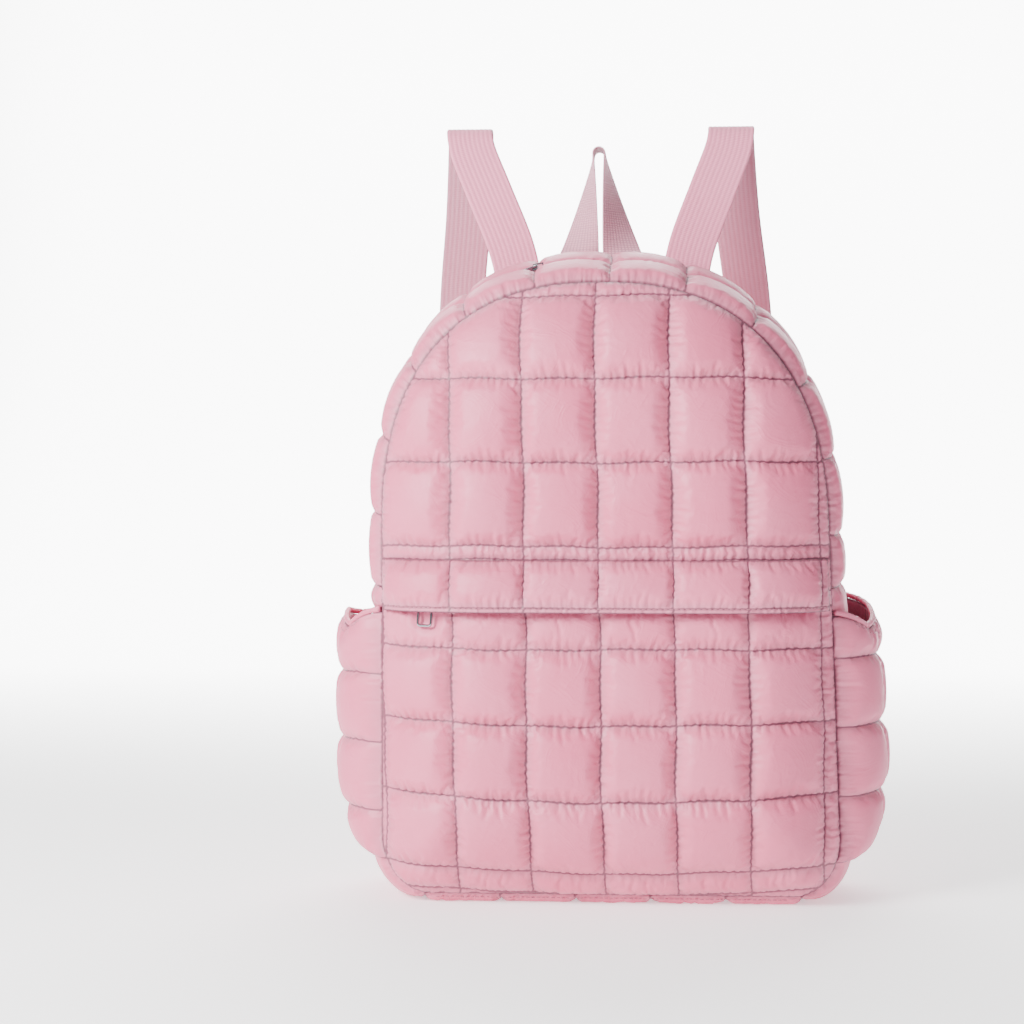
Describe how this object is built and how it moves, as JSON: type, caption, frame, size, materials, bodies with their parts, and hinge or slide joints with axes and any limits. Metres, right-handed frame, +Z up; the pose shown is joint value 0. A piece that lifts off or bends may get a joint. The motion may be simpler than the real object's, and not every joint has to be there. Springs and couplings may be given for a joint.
{
  "type": "quilted laptop backpack",
  "caption": "Arched, quilted padded backpack with a flapped front pocket, two open side pockets, webbing shoulder straps and a haul loop.",
  "frame": {"origin": "on the floor, under the middle of the whole part's box", "axes": "+Z up, -Y towards the front, +X to the right of someone who faces the front"},
  "size_m": [0.3358, 0.2316, 0.4854],
  "materials": {
    "nylon": "satin",
    "webbing": "matt ribbed",
    "zip_tape": "matt",
    "polished_metal": "polished"
  },
  "bodies": {
    "bag": {"front_panel": "nylon", "pocket_panel": "nylon", "pocket_flap": "nylon", "pocket_zip": "zip_tape", "gusset_front_band": "nylon", "gusset_rear_band": "nylon", "gusset_base": "nylon", "main_zip": "zip_tape", "back_panel": "nylon", "side_pocket_left": "nylon", "side_pocket_right": "nylon", "pocket_rim_left": "nylon", "pocket_rim_right": "nylon", "shoulder_strap_left": "webbing", "shoulder_strap_right": "webbing", "haul_loop": "webbing", "pocket_zip_slider": "polished_metal", "main_zip_slider": "polished_metal"},
    "pocket_pull": {"pocket_pull_ring": "polished_metal"},
    "main_pull": {"main_pull_ring": "polished_metal"}
  },
  "joints": [
    {"name": "pocket_pull_hinge", "type": "hinge", "parent": "bag", "child": "pocket_pull", "pos_m": [-0.10746, -0.09656, 0.1827], "axis": [-0.9143, 0.4051, 0], "range_deg": [0, 10]},
    {"name": "main_pull_hinge", "type": "hinge", "parent": "bag", "child": "main_pull", "pos_m": [-0.04543, -0.03206, 0.38506], "axis": [0, 1, 0], "range_deg": [0, 140]}
  ]
}
